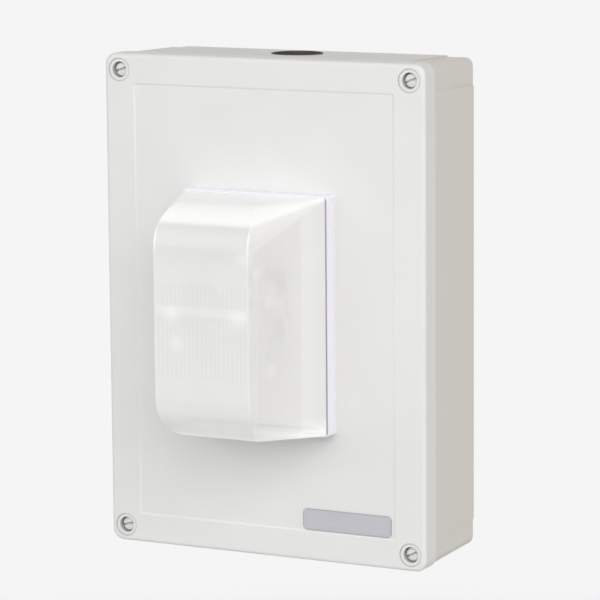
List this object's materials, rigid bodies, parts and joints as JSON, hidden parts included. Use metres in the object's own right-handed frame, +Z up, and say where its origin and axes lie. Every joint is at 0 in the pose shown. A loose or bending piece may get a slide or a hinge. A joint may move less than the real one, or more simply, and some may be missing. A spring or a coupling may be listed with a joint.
{
  "type": "alarm strobe light",
  "caption": "Wall-mounted alarm strobe light: light grey moulded enclosure with a screwed cover, a milky hipped strobe lens and a conduit entry in its top.",
  "frame": {"origin": "middle of the back face, which lies flat on the wall", "axes": "X to the right of someone who faces the light, Y into the wall, Z up"},
  "size_m": [0.18, 0.1277, 0.254],
  "materials": {
    "housing_plastic": "moulded light grey, fine texture",
    "lens_plastic": "milky translucent, gloss",
    "seal_rubber": "black, soft",
    "screw_plastic": "light grey, slotted",
    "plate_foil": "satin silver",
    "strobe_plastic": "white, smooth",
    "steel": "zinc plated",
    "board_green": "green circuit board",
    "reflector_metal": "bright metallised",
    "tube_glass": "clear glass",
    "can_sleeve": "dark capacitor sleeve",
    "part_black": "black moulded case",
    "copper_winding": "taped winding",
    "core_iron": "stacked laminations",
    "terminal_green": "green terminal housing",
    "relay_blue": "blue relay case",
    "lead_jacket": "grey cable jacket"
  },
  "bodies": {
    "root": {"enclosure_base": "housing_plastic", "enclosure_cover": "housing_plastic", "cover_gasket": "seal_rubber", "cover_screws": "screw_plastic", "name_plate": "plate_foil", "strobe_back_plate": "strobe_plastic", "lens_seal": "seal_rubber", "strobe_lens": "lens_plastic", "strobe_screws": "steel", "strobe_nuts": "steel", "strobe_board": "board_green", "strobe_board_screws": "steel", "board_guard": "strobe_plastic", "reflector": "reflector_metal", "flash_tube": "tube_glass", "tube_caps": "steel", "tube_pins": "steel", "tube_holders": "strobe_plastic", "flash_capacitor": "can_sleeve", "trigger_coil": "part_black", "converter_choke": "core_iron", "control_board": "board_green", "control_board_screws": "steel", "transformer_core": "core_iron", "transformer_winding": "copper_winding", "terminal_block": "terminal_green", "terminal_screws": "steel", "relay": "relay_blue", "fuse": "tube_glass", "fuse_clips": "steel", "supply_capacitors": "can_sleeve", "control_chip": "part_black", "lead_socket": "strobe_plastic", "strobe_lead": "lead_jacket"}
  },
  "joints": []
}
